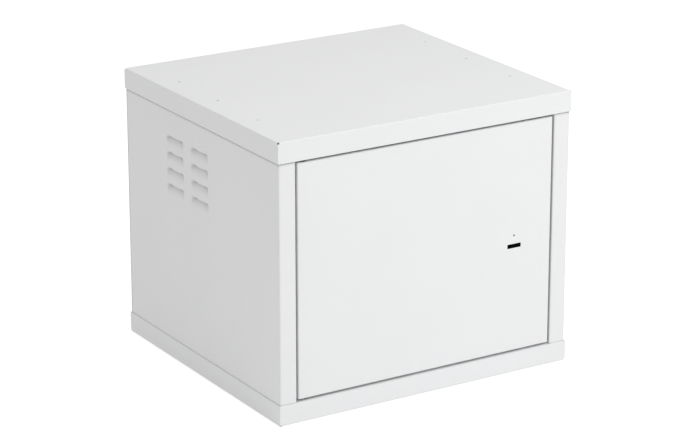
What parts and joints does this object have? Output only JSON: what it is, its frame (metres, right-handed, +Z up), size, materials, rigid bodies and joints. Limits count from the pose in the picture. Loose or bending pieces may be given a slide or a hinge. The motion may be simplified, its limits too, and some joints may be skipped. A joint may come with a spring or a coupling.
{
  "type": "phone charging kiosk",
  "caption": "Lockable sheet-steel phone charging cabinet with a flush push-to-open door, louvred sides, phone racks and USB chargers inside.",
  "frame": {"origin": "centre of the flat underside of the base tray", "axes": "+X to the right seen from the door, -Y the way the door faces, +Z up"},
  "size_m": [0.46, 0.4233, 0.39],
  "materials": {
    "powder_coat": "fine-textured satin white powder coat",
    "galvanised_steel": "zinc-plated sheet, dull",
    "bright_steel": "bright zinc-plated steel",
    "black_plastic": "moulded, fine texture",
    "button_black": "smooth gloss",
    "grey_plastic": "moulded, fine texture",
    "bumper_rubber": "matt",
    "circuit_board": "solder-masked glass-epoxy board",
    "cable_sheath": "satin flexible sheath",
    "light_lens": "translucent light pipe"
  },
  "bodies": {
    "cabinet": {"top_cover": "powder_coat", "base_tray": "powder_coat", "left_side_panel": "powder_coat", "right_side_panel": "powder_coat", "rear_panel": "powder_coat", "header_rail": "powder_coat", "sill_rail": "powder_coat", "hinge_pin_upper": "bright_steel", "hinge_pin_lower": "bright_steel", "rear_screw_1": "bright_steel", "rear_screw_2": "bright_steel", "rear_screw_3": "bright_steel", "rear_screw_4": "bright_steel", "lock_bracket": "galvanised_steel", "lock_case": "galvanised_steel", "lock_lid": "galvanised_steel", "solenoid": "bright_steel", "plunger_spring": "bright_steel", "shelf": "powder_coat", "shelf_bracket_left": "galvanised_steel", "shelf_bracket_right": "galvanised_steel", "phone_rack_lower": "grey_plastic", "charger_case_lower": "black_plastic", "charger_board_lower": "circuit_board", "charge_cable_1": "cable_sheath", "charge_cable_2": "cable_sheath", "charge_cable_3": "cable_sheath", "charge_cable_4": "cable_sheath", "charge_cable_5": "cable_sheath", "phone_rack_upper": "grey_plastic", "charger_case_upper": "black_plastic", "charger_board_upper": "circuit_board", "charge_cable_6": "cable_sheath", "charge_cable_7": "cable_sheath", "charge_cable_8": "cable_sheath", "charge_cable_9": "cable_sheath", "charge_cable_10": "cable_sheath", "power_inlet": "black_plastic", "mains_lead_lower": "cable_sheath", "mains_lead_upper": "cable_sheath", "controller_case": "grey_plastic", "controller_board": "circuit_board", "lock_lead": "cable_sheath"},
    "door": {"door_panel": "powder_coat", "door_stiffener": "galvanised_steel", "hinge_bush_upper": "black_plastic", "hinge_bush_lower": "black_plastic", "door_strike": "bright_steel", "door_bumper_upper": "bumper_rubber", "door_bumper_lower": "bumper_rubber", "button_housing": "black_plastic", "button_board": "circuit_board", "status_light": "light_lens", "door_harness": "cable_sheath"},
    "release_button": {"release_button": "button_black"},
    "lock_hook": {"lock_hook": "bright_steel"},
    "solenoid_plunger": {"solenoid_plunger": "bright_steel"},
    "rocker_switch": {"rocker_switch": "black_plastic"},
    "fuse_drawer": {"fuse_drawer": "black_plastic"}
  },
  "joints": [
    {"name": "door_hinge", "type": "hinge", "parent": "cabinet", "child": "door", "pos_m": [-0.1905, -0.2017, 0.195], "axis": [0, 0, -1], "range_deg": [0, 110]},
    {"name": "button_press", "type": "slide", "parent": "door", "child": "release_button", "axis": [0, 1, 0], "range_m": [0, 0.0025]},
    {"name": "hook_turn", "type": "hinge", "parent": "cabinet", "child": "lock_hook", "pos_m": [0.183, -0.143, 0.18], "axis": [-1, 0, 0], "range_deg": [0, 44]},
    {"name": "plunger_slide", "type": "slide", "parent": "cabinet", "child": "solenoid_plunger", "axis": [0, -1, 0], "range_m": [0, 0.005]},
    {"name": "rocker_tilt", "type": "hinge", "parent": "cabinet", "child": "rocker_switch", "pos_m": [0.15, 0.2057, 0.0895], "axis": [-1, 0, 0], "range_deg": [0, 14]},
    {"name": "fuse_drawer_slide", "type": "slide", "parent": "cabinet", "child": "fuse_drawer", "axis": [0, 1, 0], "range_m": [0, 0.018]}
  ]
}
